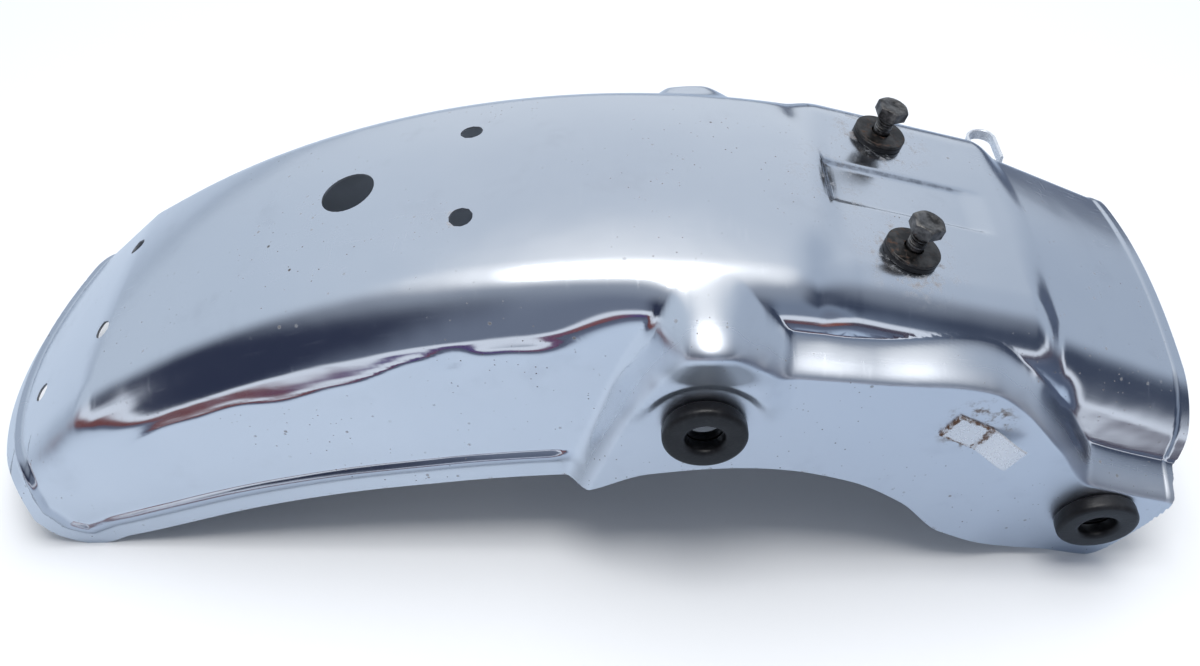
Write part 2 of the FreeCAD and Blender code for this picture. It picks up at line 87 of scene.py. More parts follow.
# Hardware, in millimetres.
GROMMET, GROMMET_PROUD, GROMMET_BORE, GROMMET_ROUND = 36.0, 8.0, 16.0, 2.4
GROMMET_NECK, NECK_PAST, NECK_ROUND = 25.0, 0.4, 0.1
GROMMET_BACK, BACK_THICK, BACK_ROUND = 31.0, 3.0, 0.9
THREAD_DIAMETER, THREAD_PITCH, THREAD_CUT, THREAD_SINK, THREAD_TOOTH = 8.0, 1.25, 0.45, 0.52, 0.5
THREAD_CLEAR, THREAD_PAST, SHANK_BEVEL, BOLT_HOLE = 0.3, 1.5, 0.5, 8.5
HEAD_FLATS, HEAD_HEIGHT, HEAD_BEVEL, SHANK_SHOWN = 13.0, 5.5, math.radians(30.0), 9.0
HEAD_FACE_SHARE, HEAD_DISH_SHARE, DISH_IN, DISH_DEEP = 0.47, 0.72, 0.4, 0.25
HEAD_FOOT_SHARE, HEAD_FOOT_HIGH = 0.93, 0.35
NUT_HEIGHT, NUT_FOOT_SHARE, NUT_FOOT_HIGH = 6.5, 0.94, 0.4
WASHER, STEEL_WASHER, STEEL_ROUND, RUBBER_WASHER, RUBBER_ROUND = 24.0, 1.5, 0.3, 2.5, 0.5
CLIP_X, CLIP_DROP, CLIP_TURN, CLIP_LENGTH = 163.5, 51.0, math.radians(-29.0), 17.0
CLIP_WIDTH, CLIP_METAL, TONGUE, TONGUE_RISE = 14.0, 1.2, 17.0, 6.0
LOOP_X, LOOP_DROP, LOOP_WIDE, LOOP_REACH = 208.0, 18.4, 15.0, 23.0
LOOP_STRIP, LOOP_METAL, LOOP_ROOT, LOOP_RUST, STRAP_EDGE_SHARE = 6.0, 1.5, 1.0, 12.0, 0.3

# Dents of use, in millimetres: relief that the part's source leaves out.
DENT_X, DENT_DROP, DENT_DEEP, DENT_LONG, DENT_HIGH = -50.0, 41.0, 2.0, 9.0, 5.0
FOLD_DEEP, FOLD_WIDE = 0.4, 5.0
FOLD_WAVES = [(1.4, 15.0), (0.9, 6.1)]
FOLD_START, FOLD_STOP = (LIP_START - 30.0, LIP_START + 20.0), (-20.0, 30.0)
FOLD_DEPTH = [(LIP_START - 40.0, 38.0), (-166.0, 40.0), (-103.0, 44.0), (-42.0, 36.0), (20.0, 33.0)]

# Painted shade by the recess and painted shadow by the clip, in millimetres, and the share the recess's front
# end loses.
RECESS_END_IN, CLIP_SHADOW_AHEAD, CLIP_SHADOW_UP, CALM_RUN, CALM_SHARE = 6.0, 4.0, 3.0, 4.0, 0.85

# Softer shading: spans of X or of depth below the crown line, in millimetres, and how far normals turn.
FOLD_LIFT, FOLD_ROLL, FOLD_ABOVE, FOLD_BELOW = 0.50, (12.0, 28.0), -3.0, 4.0
FOLD_FADE, FADE_SPAN = 12.0, (-80.0, 0.0)
NOSE_WIDE, NOSE_TURN, NOSE_DROP, NOSE_ROLL = 16.0, 1.1, 26.0, 0.10
NOSE_TOP, NOSE_FOOT = (6.0, 18.0), (34.0, 44.0)
CORNER_X, CORNER_LONG, CORNER_TURN = PLATFORM_A + 4.0, 9.0, 0.45
CORNER_TOP, CORNER_FOOT = (1.0, 5.0), (10.0, 18.0)
CHANNEL_SPAN, CHANNEL_ROLL, CHANNEL_FOOT = (PLATFORM_B, PLATFORM_B + 12.0), (8.0, 30.0), (1.0, 9.0)
CHANNEL_AHEAD, CHANNEL_LIFT = 0.3375, 0.675

# How finely the pieces are drawn: counts of points, steps and reaches in millimetres, and the sharp angle.
CROWN_STEPS, ROLL_STEPS, SKIRT_STEPS, SKIRT_PAST = 70, 60, 400, 8.0
ROW_SPANS = [(TAIL_END - 5.0, 56), (-228.0, 78), (-20.0, 66), (105.0, 62), (FRONT_X + 12.0, 27)]
ROWS_END = FRONT_END + 8.0
COLUMNS, TURN_LENGTH = 88, 10.0
NEAR, ROW_STEP, BEND_STEP, BEND_WIDE = 0.5, 0.4, 7.0, 7.0
EDGE_REACH, EDGE_TRIES, HOLE_REACH, FAR_AWAY = 20.0, 41, 9.0, 99.0
RING_STEPS, FILLET_STEPS, THREAD_STEPS, HEX_STEPS, SHANK_STEPS = 96, 5, 40, 120, 48
CLIP_STEPS, LEG_STEPS, LOOP_STEPS = 60, 12, 40
SHARP_EDGE = math.radians(35.0)


def smooth(start, end, value):
    """Rise smoothly from 0 at the start to 1 at the end."""
    share = np.clip((value - start) / (end - start), 0.0, 1.0)
    return share * share * (3.0 - 2.0 * share)


def between(rise, fall, value):
    """Rise smoothly over one span and fall again over another."""
    return smooth(*rise, value) * (1.0 - smooth(*fall, value))


def unit(vectors):
    return vectors / np.linalg.norm(vectors, axis=-1, keepdims=True)


def along(points, x):
    """Height at x on a smooth line through the points, without overshoot."""
    px, pz = (np.array(values) for values in zip(*points))
    steps = np.diff(pz) / np.diff(px)
    left, right = steps[:-1], steps[1:]
    total = np.where(left + right == 0.0, 1.0, left + right)
    inner = np.where(left * right <= 0.0, 0.0, 2.0 * left * right / total)
    slopes = np.concatenate([steps[:1], inner, steps[-1:]])
    x = np.clip(x, px[0], px[-1])
    at = np.clip(np.searchsorted(px, x, side="left") - 1, 0, len(px) - 2)
    width = px[at + 1] - px[at]
    share = (x - px[at]) / width
    rest = 1.0 - share
    blend = share * share * (3.0 - 2.0 * share)
    hermite = width * share * rest * (rest * slopes[at] - share * slopes[at + 1])
    return pz[at] + (pz[at + 1] - pz[at]) * blend + hermite


def arc_height(x):
    return -CROWN_RADIUS + np.sqrt(CROWN_RADIUS ** 2 - (x - CROWN_PEAK) ** 2)


def arc_slope(x):
    return -(x - CROWN_PEAK) / np.sqrt(CROWN_RADIUS ** 2 - (x - CROWN_PEAK) ** 2)


def crown_height(x):
    """Height of the crown line: an arc that runs on straight at the tail and at the front."""
    middle = arc_height(np.clip(x, TAIL_BREAK, FRONT_BREAK))
    tail = TAIL_SLOPE * np.minimum(x - TAIL_BREAK, 0.0)
    return middle + tail + arc_slope(FRONT_BREAK) * np.maximum(x - FRONT_BREAK, 0.0)


def edge_height(x):
    return crown_height(x) - along(EDGE_DEPTH, x)


def plate_top(x):
    return crown_height(x) - along(PLATE_DEPTH, x)


EAR_Z = float(crown_height(EAR_X)) - EAR_DROP
FRONT_Z = float(crown_height(FRONT_X)) - FRONT_DROP
CLIP_Z = float(crown_height(CLIP_X)) - CLIP_DROP
LOOP_Z = float(crown_height(LOOP_X)) - LOOP_DROP
LOWEST = min(float(edge_height(x)) for x, _ in EDGE_DEPTH)
SET_DOWN = np.array([SHIFT, 0.0, -LOWEST])


def crown_shape(x):
    """Height, transverse radius and half-width of the body at x."""
    lip = 1.0 - smooth(LIP_FULL, LIP_START, x)
    share = between((PLATFORM_A, PLATFORM_A + PLATFORM_BLEND), (PLATFORM_B - PLATFORM_BLEND, PLATFORM_B), x)
    across = CROSS_RADIUS + (LIP_CROSS - CROSS_RADIUS) * lip
    across = 1.0 / ((1.0 - share) / across + share / PLATFORM_RADIUS)
    platform = arc_height(BOLT_X) - PLATFORM_DROP + arc_slope(BOLT_X) * (x - BOLT_X)
    top = (1.0 - share) * crown_height(x) + share * platform
    return top, across, BODY_HALF + (LIP_HALF - BODY_HALF) * lip


def crease_height(x):
    """Line where the skirt starts to flare, below the shoulder's roll."""
    top, across, wall = crown_shape(x)
    centre = top - across + np.sqrt((across - SHOULDER) ** 2 - (wall - SHOULDER) ** 2)
    return np.minimum(crown_height(x) - along(CREASE_DEPTH, x), centre - 0.5 * CREASE_SOFT)


def skirt_line(x):
    """Height of the skirt's edge, held level past both ends of the skirt."""
    return edge_height(np.clip(x, SKIRT_A, SKIRT_B))


def tail_edge(y):
    """X of the tail's end, an arc in plan."""
    return TAIL_END + TAIL_PLAN - np.sqrt(TAIL_PLAN ** 2 - np.minimum(np.abs(y), TAIL_PLAN_HALF) ** 2)


def front_line(z):
    """X of the front end, which leans forward below the crown."""
    top = float(crown_height(FRONT_END))
    return FRONT_END + FRONT_LEAN * (1.0 - smooth(top - LEAN_DEPTH, top, z))


def plate_width(x, z):
    """Half-width over the side plates, which tip at the front."""
    return PLATE_HALF + PLATE_TIP * smooth(TIP_START, TIP_END, x) * (z - FRONT_Z)


def shares_below_one(count):
    return np.linspace(0.0, 1.0, count, endpoint=False)[None, :]


def body_points(xs, side):
    """Outer face of one side before bead, recess, hem and dents, as rows of points from crown to edge."""
    x = xs[:, None]
    top, across, wall = crown_shape(x)
    lean = np.arcsin((wall - SHOULDER) / (across - SHOULDER))
    angle = lean * shares_below_one(CROWN_STEPS)
    turn = lean + (math.pi / 2.0 - lean) * shares_below_one(ROLL_STEPS)
    centre_y = wall - SHOULDER
    centre_z = top - across + (across - SHOULDER) * np.cos(lean)
    crease = crease_height(x)
    bottom = skirt_line(x) - SKIRT_PAST
    flare = (SKIRT_HALF - wall) / np.maximum(2.0 * CREASE_SOFT, crease - skirt_line(x))
    z_side = centre_z + (bottom - centre_z) * np.linspace(0.0, 1.0, SKIRT_STEPS)[None, :]
    below, start = crease - z_side, crease - centre_z
    bend = 0.5 * (below + np.hypot(below, CREASE_SOFT))
    offset = 0.5 * (start + np.hypot(start, CREASE_SOFT))
    y = np.concatenate([across * np.sin(angle), centre_y + SHOULDER * np.sin(turn),
                        wall + flare * (bend - offset)], 1)
    z = np.concatenate([top - across + across * np.cos(angle), centre_z + SHOULDER * np.cos(turn),
                        z_side], 1)
    slope = (plate_top(x + 1.0) - plate_top(x - 1.0)) / 2.0
    step = PLATE_STEP + SPOUT_SOFT * np.exp(-((x - EAR_X) / SPOUT_WIDE) ** 2)
    pressed = smooth(-0.5 * step, 0.5 * step, (plate_top(x) - z) / np.hypot(1.0, slope))
    y = y + pressed * (plate_width(x, z) - y)
    reach = np.hypot(x - EAR_X, z - EAR_Z)
    arc = smooth(EAR_ARC - EAR_BLEND, EAR_ARC + EAR_BLEND, reach) * smooth(0.0, EAR_FADE, z - EAR_Z)
    y = y + EAR_RISE * arc * pressed * (1.0 - smooth(*EAR_STOP, x))
    return np.stack([np.broadcast_to(x, y.shape), side * y, z], 2)


def with_normals(rule, xs, side):
    """Points that a rule gives, with outward normals from its values a step before and after each row.

    The step grows at the tail's bend, which rounds the shading there.
    """
    points = rule(xs, side)
    step = ROW_STEP + BEND_STEP * np.exp(-((xs - TAIL_BREAK) / BEND_WIDE) ** 2)
    ahead = rule(xs + step, side) - rule(xs - step, side)
    normals = -side * np.cross(np.gradient(points, axis=1), ahead)
    # On the crown line both sides meet, so the normal there stays in the middle plane.
    normals[:, 0, 1] = 0.0
    return points, unit(normals)


def edge_distance(x, z):
    """Distance from the lower edge, seen from the side."""
    nearest = np.full(x.shape, np.inf)
    for step in np.linspace(-EDGE_REACH, EDGE_REACH, EDGE_TRIES):
        nearest = np.minimum(nearest, np.hypot(step, edge_height(x + step) - z))
    return nearest


def bead_share(x, y, z):
    """Profile of the bead that follows the skirt's edge and goes round the tail."""
    lip_run = (x - tail_edge(np.minimum(np.abs(y), LIP_HALF))) * math.hypot(1.0, TAIL_SLOPE)
    on_lip = (crown_height(x) - z < LIP_DROP) & (x < LIP_START)
    run = np.where(on_lip, lip_run, np.minimum(edge_distance(x, z), np.abs(lip_run)))
    share = np.clip((run - BEAD_IN) / (0.5 * BEAD_WIDE), -1.0, 1.0)
    return (1.0 - share * share) ** 2 * (1.0 - smooth(BEAD_END - BEAD_WIDE, BEAD_END + BEAD_WIDE, x))


def recess_share(x, y):
    """Depth of the platform's recess as a share: steep at the rear and the sides, fading to the front."""
    ends = between((RECESS_A, RECESS_A + RECESS_WALL), (RECESS_B - RECESS_FADE, RECESS_B), x)
    return ends * (1.0 - smooth(RECESS_HALF - RECESS_WALL, RECESS_HALF, np.abs(y)))


def fold_depth(x, z):
    """Depth below the wavy fold line of the skirt."""
    waves = sum(height * np.sin(x / length) for height, length in FOLD_WAVES)
    return crown_height(x) - z - along(FOLD_DEPTH, x) + waves


def pressed_points(xs, side):
    """Outer face of one side with its bead, recess, hem and wavy fold, and the dent of the right skirt."""
    points, normals = with_normals(body_points, xs, side)
    x, y, z = points[..., 0], points[..., 1], points[..., 2]
    rise = BEAD_HIGH * bead_share(x, y, z)
    rise -= RECESS_DEEP * recess_share(x, y)
    hem = front_line(z) - HEM_IN
    rise += HEM_RISE * smooth(hem - HEM_SOFT, hem + HEM_SOFT, x)
    below = fold_depth(x, z) / FOLD_WIDE
    rise += FOLD_DEEP * between(FOLD_START, FOLD_STOP, x) * below * np.exp(-below * below)
    if side < 0.0:
        dent_z = (crown_height(x) - z - DENT_DROP) / DENT_HIGH
        rise -= DENT_DEEP * np.exp(-((x - DENT_X) / DENT_LONG) ** 2 - dent_z ** 2)
    return points + normals * rise[..., None]


def softened(points, normals):
    """Normals that shade the roll above the fold and the front channel wider than their form.

    The top of each ear is shaded as a rounded nose, and the rear corner of the platform as a soft bend.
    """
    x, z = points[:, 0], points[:, 2]
    depth = crown_height(x) - z
    shaded = normals.copy()
    fade = FOLD_BELOW + FOLD_FADE * smooth(*FADE_SPAN, x)
    roll = smooth(*FOLD_ROLL, depth) * between(FOLD_START, FOLD_STOP, x)
    shaded[:, 2] += FOLD_LIFT * roll * (1.0 - smooth(FOLD_ABOVE, fade, fold_depth(x, z)))
    nose = (x - EAR_X) / NOSE_WIDE
    on_nose = np.exp(-nose * nose) * between(NOSE_TOP, NOSE_FOOT, depth)
    shaded[:, 0] += NOSE_TURN * nose * on_nose
    shaded[:, 2] += NOSE_ROLL * (NOSE_DROP - depth) * on_nose
    corner = np.exp(-((x - CORNER_X) / CORNER_LONG) ** 2) * between(CORNER_TOP, CORNER_FOOT, depth)
    shaded[:, 0] += CORNER_TURN * corner
    channel = smooth(*CHANNEL_SPAN, x) * smooth(*CHANNEL_ROLL, depth)
    channel *= smooth(*CHANNEL_FOOT, along(PLATE_DEPTH, x) - depth)
    shaded[:, 0] += CHANNEL_AHEAD * channel
    shaded[:, 2] += CHANNEL_LIFT * channel
    return unit(shaded)


def even_shares(points, normals):
    """Each row drawn again with points at equal shares of its length and turning."""
    steps = np.linalg.norm(np.diff(points, axis=1), axis=2)
    turns = np.linalg.norm(np.diff(normals, axis=1), axis=2)
    run = np.concatenate([np.zeros((len(points), 1)), np.cumsum(steps + TURN_LENGTH * turns, 1)], 1)
    values = np.concatenate([points, normals], 2)
    rows = []
    for row in range(len(points)):
        even = np.linspace(0.0, run[row, -1], COLUMNS)
        rows.append(np.stack([np.interp(even, run[row], column) for column in values[row].T], 1))
    grid = np.stack(rows)
    return grid[..., :3], unit(grid[..., 3:])


def crown_point(x, y):
    top, across, _ = crown_shape(np.array(float(x)))
    return np.array([x, y, float(top - across + np.sqrt(across ** 2 - y * y))])


def crown_seat(x, y):
    """A point of the crown with its outward normal."""
    ahead = crown_point(x + NEAR, y) - crown_point(x - NEAR, y)
    aside = crown_point(x, y + NEAR) - crown_point(x, y - NEAR)
    return crown_point(x, y), unit(np.cross(ahead, aside))


def plate_seat(x, z, side):
    """A point of a side plate with its outward normal."""
    slope = float(plate_width(x, z + NEAR) - plate_width(x, z - NEAR))
    return np.array([x, side * float(plate_width(x, z)), z]), unit(np.array([0.0, side, -slope]))


HOLES = [(WIRING_HOLE, *crown_seat(WIRING_HOLE_X, 0.0)), (TAIL_HOLE, *crown_seat(LONE_HOLE_X, LONE_HOLE_Y))]
for _, side in SIDES:
    HOLES.append((CROWN_HOLE, *crown_seat(CROWN_HOLE_X, side * CROWN_HOLE_Y)))
    HOLES.append((TAIL_HOLE, *crown_seat(TAIL_HOLE_X, side * TAIL_HOLE_Y)))
    HOLES.append((0.5 * BOLT_HOLE, *crown_seat(BOLT_X, side * BOLT_Y)))
    HOLES.append((0.5 * GROMMET_NECK, *plate_seat(EAR_X, EAR_Z, side)))
    HOLES.append((0.5 * GROMMET_NECK, *plate_seat(FRONT_X, FRONT_Z, side)))


def keep_field(p):
    """Positive inside the sheet's outline and outside its holes, in millimetres."""
    x, y, z = p[..., 0], p[..., 1], p[..., 2]
    field = np.where(z < edge_height(x), -1.0, 1.0) * edge_distance(x, z)
    field = np.minimum(field, x - tail_edge(y))
    field = np.minimum(field, front_line(z) - x)
    for radius, point, normal in HOLES:
        away = p - point
        depth = away @ normal
        flat = np.linalg.norm(away - depth[..., None] * normal, axis=-1)
        field = np.minimum(field, np.where(np.abs(depth) < HOLE_REACH, flat - radius, FAR_AWAY))
    return field


def pressed_grid():
    """Outer face of the whole sheet as a grid of points with normals, from the left edge to the right."""
    ends = [start for start, _ in ROW_SPANS[1:]] + [ROWS_END]
    spans = [np.linspace(start, end, count, endpoint=False) for (start, count), end in zip(ROW_SPANS, ends)]
    xs = np.append(np.concatenate(spans), ROWS_END)
    left = even_shares(*with_normals(pressed_points, xs, 1.0))
    right = even_shares(*with_normals(pressed_points, xs, -1.0))
    return tuple(np.concatenate([a[:, :0:-1], b], 1) for a, b in zip(left, right))


def clipped(points, normals, field, triangles):
    """Cut triangles where the field changes sign and keep the positive side."""
    edges, cut = {}, []
    new_points, new_normals = list(points), list(normals)

    def crossing(a, b):
        a, b = min(a, b), max(a, b)
        if (a, b) not in edges:
            share = field[a] / (field[a] - field[b])
            edges[a, b] = len(new_points)
            new_points.append(points[a] + share * (points[b] - points[a]))
            new_normals.append(unit(normals[a] + share * (normals[b] - normals[a])))
        return edges[a, b]

    good = field > 0.0
    count = good[triangles].sum(1)
    for tri in triangles[(count == 1) | (count == 2)]:
        flags = good[tri]
        one_kept = flags.sum() == 1
        first = int(np.argmax(flags) if one_kept else np.argmin(flags))
        a, b, c = (int(tri[(first + k) % 3]) for k in range(3))
        ab, ac = crossing(a, b), crossing(a, c)
        if one_kept:
            cut.append((a, ab, ac))
        else:
            cut += [(ab, b, c), (ab, c, ac)]
    kept = np.concatenate([triangles[count == 3], np.array(cut, int).reshape(-1, 3)])
    return np.array(new_points), np.array(new_normals), kept


def trimmed_face():
    """Points, normals and triangles of the outer face, cut along its outline and holes."""
    p, n = pressed_grid()
    rows, columns = p.shape[:2]
    index = np.arange(rows * columns).reshape(rows, columns)
    a, b, c, d = index[:-1, :-1], index[1:, :-1], index[1:, 1:], index[:-1, 1:]
    triangles = np.concatenate([np.stack(corners, 2).reshape(-1, 3) for corners in ((a, d, c), (a, c, b))])
    points, normals, tris = clipped(p.reshape(-1, 3), n.reshape(-1, 3), keep_field(p).ravel(), triangles)
    used, tris = np.unique(tris, return_inverse=True)
    return points[used], normals[used], tris.reshape(-1, 3)


def rim_edges(tris, size):
    """Edges that belong to one triangle only."""
    pairs = np.concatenate([tris[:, [0, 1]], tris[:, [1, 2]], tris[:, [2, 0]]])
    keys = np.sort(pairs, 1)
    _, first, counts = np.unique(keys[:, 0] * size + keys[:, 1], return_index=True, return_counts=True)
    return pairs[first[counts == 1]]


def mark_wear_and_shade(mesh, points):
    """Store what the plating's wear and painted shade follow: distance from the rim for rust, and the bead
    and the recess's walls for painted shade.
    """
    recess = recess_share(points[:, 0], points[:, 1])
    front_end = smooth(RECESS_B - RECESS_FADE - CALM_RUN, RECESS_B - RECESS_FADE, points[:, 0])
    marks = {"rim_distance": np.abs(keep_field(points)),
             "bead_share": bead_share(*points.T),
             "recess_wall": 4.0 * recess * (1.0 - recess) * (1.0 - CALM_SHARE * front_end)}
    for label, values in marks.items():
        mesh.attributes.new(label, "FLOAT", "POINT").data.foreach_set("value", np.tile(values, 2))


def sheet_mesh():
    """The sheet with its thickness: outer face, inner face and the rim between them."""
    points, normals, tris = trimmed_face()
    size = len(points)
    rim = rim_edges(tris, size)
    vertices = np.concatenate([points, points - SHEET * normals]) + SET_DOWN
    faces = tris.tolist() + (tris[:, ::-1] + size).tolist()
    faces += [(end, start, start + size, end + size) for start, end in rim.tolist()]
    mesh = bpy.data.meshes.new("mudguard_shell")
    mesh.from_pydata((vertices * MM).tolist(), [], faces)
    mesh.polygons.foreach_set("use_smooth", np.ones(len(faces), bool))
    mesh.polygons.foreach_set("material_index", (np.arange(len(faces)) >= len(tris)).astype(int))
    mesh.update()
    outer = softened(points, normals)[tris].reshape(-1, 3)
    inner = -normals[tris[:, ::-1]].reshape(-1, 3)
    flat = unit(np.cross(vertices[rim[:, 1]] - vertices[rim[:, 0]], normals[rim[:, 0]]))
    mesh.normals_split_custom_set(np.concatenate([outer, inner, np.repeat(flat, 4, 0)]).tolist())
    mark_wear_and_shade(mesh, points)
    return mesh


def add_piece(name, mesh, materials, nodes):
    """Put a finished mesh in the scene in place of CAD nodes."""
    piece = bpy.data.objects.new(name, mesh)
    bpy.context.scene.collection.objects.link(piece)
    for material in materials:
        piece.data.materials.append(material)
    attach(piece, "root")
    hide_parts(*nodes)


def add_node(tree, kind, settings, inputs):
    """Add any node, set its properties, and link or set its inputs, given by name or as i0, i1."""
    made = tree.nodes.new(kind)
    for key, value in (settings or {}).items():
        setattr(made, key, value)
    for key, value in inputs.items():
        target = made.inputs[int(key[1:]) if key[1:].isdigit() else key.replace("_", " ")]
        if isinstance(value, bpy.types.NodeSocket):
            tree.links.new(value, target)
        else:
            target.default_value = value
    return made


class Sockets:
    """A shader value that takes plain operators."""

    def __init__(self, tree, socket):
        self.tree, self.socket = tree, socket

    def node(self, kind, settings=None, output=0, **inputs):
        """Add a node to the same tree, with values or links as inputs, and take one of its outputs."""
        plain = {key: value.socket if isinstance(value, Sockets) else value for key, value in inputs.items()}
        return Sockets(self.tree, add_node(self.tree, kind, settings, plain).outputs[output])

    def maths(self, operation, *values):
        inputs = {f"i{k}": value for k, value in enumerate(values)}
        return self.node("ShaderNodeMath", {"operation": operation}, **inputs)

    def vector_maths(self, operation, other, output):
        return self.node("ShaderNodeVectorMath", {"operation": operation}, output, i0=self, i1=other)

    def __add__(self, other):
        return self.maths("ADD", self, other)

    def __sub__(self, other):
        return self.maths("SUBTRACT", self, other)

    def __mul__(self, other):
        return self.maths("MULTIPLY", self, other)

    def __truediv__(self, other):
        return self.maths("DIVIDE", self, other)

    def __rsub__(self, other):
        return self.maths("SUBTRACT", other, self)

    def __rtruediv__(self, other):
        return self.maths("DIVIDE", other, self)

    __radd__ = __add__
    __rmul__ = __mul__

    def larger(self, other):
        return self.maths("MAXIMUM", self, other)

    def absolute(self):
        return self.maths("ABSOLUTE", self)

    def step(self, low, high):
        """Rise smoothly from 0 at low to 1 at high."""
        settings = {"interpolation_type": "SMOOTHSTEP"}
        return self.node("ShaderNodeMapRange", settings, i0=self, i1=low, i2=high)

    def mix(self, first, second):
        """Blend two colours by this value, through the colour sockets of a Mix node."""
        first, second = (c if isinstance(c, Sockets) else (*c, 1.0) for c in (first, second))
        return self.node("ShaderNodeMix", {"data_type": "RGBA"}, 2, i0=self, i6=first, i7=second)

    def graded(self, colour, *stops):
        """A colour that changes along this value, with stops of (start, full, colour)."""
        for start, full, following in stops:
            colour = self.step(start, full).mix(colour, following)
        return colour

    def axis(self, index):
        return self.node("ShaderNodeSeparateXYZ", output=index, i0=self)

    def stretched(self, *scale):
        return self.vector_maths("MULTIPLY", scale, "Vector")

    def away(self, point):
        """Distance from a point."""
        return self.vector_maths("DISTANCE", point, "Value")

    def offset_along(self, point, direction):
        """Distance from a point along a direction, without its sign."""
        shift = self.vector_maths("SUBTRACT", point, "Vector")
        return shift.vector_maths("DOT_PRODUCT", direction, "Value").absolute()

    def attribute(self, label):
        return self.node("ShaderNodeAttribute", {"attribute_name": label}, "Fac")

    def noise(self, scale, detail=2.0, roughness=0.5):
        return self.node("ShaderNodeTexNoise", Vector=self, Scale=scale, Detail=detail, Roughness=roughness)

    def cells(self, scale, output):
        return self.node("ShaderNodeTexVoronoi", output=output, Vector=self, Scale=scale)

    def specks(self, scale, size, share):
        """Round specks in a share of the cells of a pattern, with a soft rim."""
        chosen = self.cells(scale, "Color").axis(0).step(1.0 - share, 1.0 - 0.7 * share)
        return self.cells(scale, "Distance").step(size, 0.4 * size) * chosen

    def bump(self, strength, distance):
        return self.node("ShaderNodeBump", Height=self, Strength=strength, Distance=distance)


def finish(name):
    """A new material with its surface shader and the Object coordinates."""
    made = bpy.data.materials.new(name)
    made.use_nodes = True
    tree = made.node_tree
    place = Sockets(tree, tree.nodes.new("ShaderNodeTexCoord").outputs["Object"])
    return made, tree.nodes["Principled BSDF"], place


def drive(shader, **inputs):
    """Link or set inputs of a surface shader, with a colour given as three values."""
    for key, value in inputs.items():
        target = shader.inputs[key.replace("_", " ")]
        if isinstance(value, Sockets):
            value.tree.links.new(value.socket, target)
        else:
            target.default_value = (*value, 1.0) if isinstance(value, tuple) else value


def in_frame(point):
    """A point in the sheet's millimetres, brought to the shared frame in metres."""
    return Vector((np.asarray(point) + SET_DOWN) * MM)


# Colours of the finishes, as linear red, green and blue.
CHROME_GREY, CHROME_BRIGHT, CHROME_DULL = (0.70, 0.735, 0.79), (0.80, 0.825, 0.865), (0.60, 0.62, 0.67)
# Painted shade along the bead and on the recess's walls.
BEAD_PAINTED_SHADE, RECESS_PAINTED_SHADE = (0.36, 0.40, 0.48), (0.20, 0.22, 0.26)
# Dark and brown of dirt and rust, also used for the painted shade and shadow by the recess and the clip.
DIRT_AND_SHADE_BLACK, DIRT_AND_SHADE_BROWN = (0.022, 0.017, 0.015), (0.095, 0.048, 0.027)
BLOOM_DARK, BLOOM_PALE, INNER_RUST = (0.30, 0.31, 0.33), (0.46, 0.47, 0.49), (0.15, 0.085, 0.05)
RUBBER_BLACK, RUBBER_DUSTY = (0.006, 0.006, 0.007), (0.036, 0.037, 0.041)
OXIDE, WORN_STEEL, STEEL_RUST = (0.04, 0.038, 0.037), (0.24, 0.23, 0.22), (0.070, 0.037, 0.023)
STRAP_GREY, STRAP_PALE, STRAP_RUST = (0.72, 0.74, 0.77), (0.82, 0.84, 0.87), (0.11, 0.05, 0.025)

# Where the grime round the bolts, the painted shade at the recess's end and the painted shadow by the clip
# start and are full, in metres from a place, and where the satin plates start.
BOLT_GRIME, RECESS_END_PAINTED_SHADE, CLIP_PAINTED_SHADOW = (0.030, 0.012), (0.030, 0.008), (0.019, 0.011)
SATIN_Y = (0.077, 0.091)


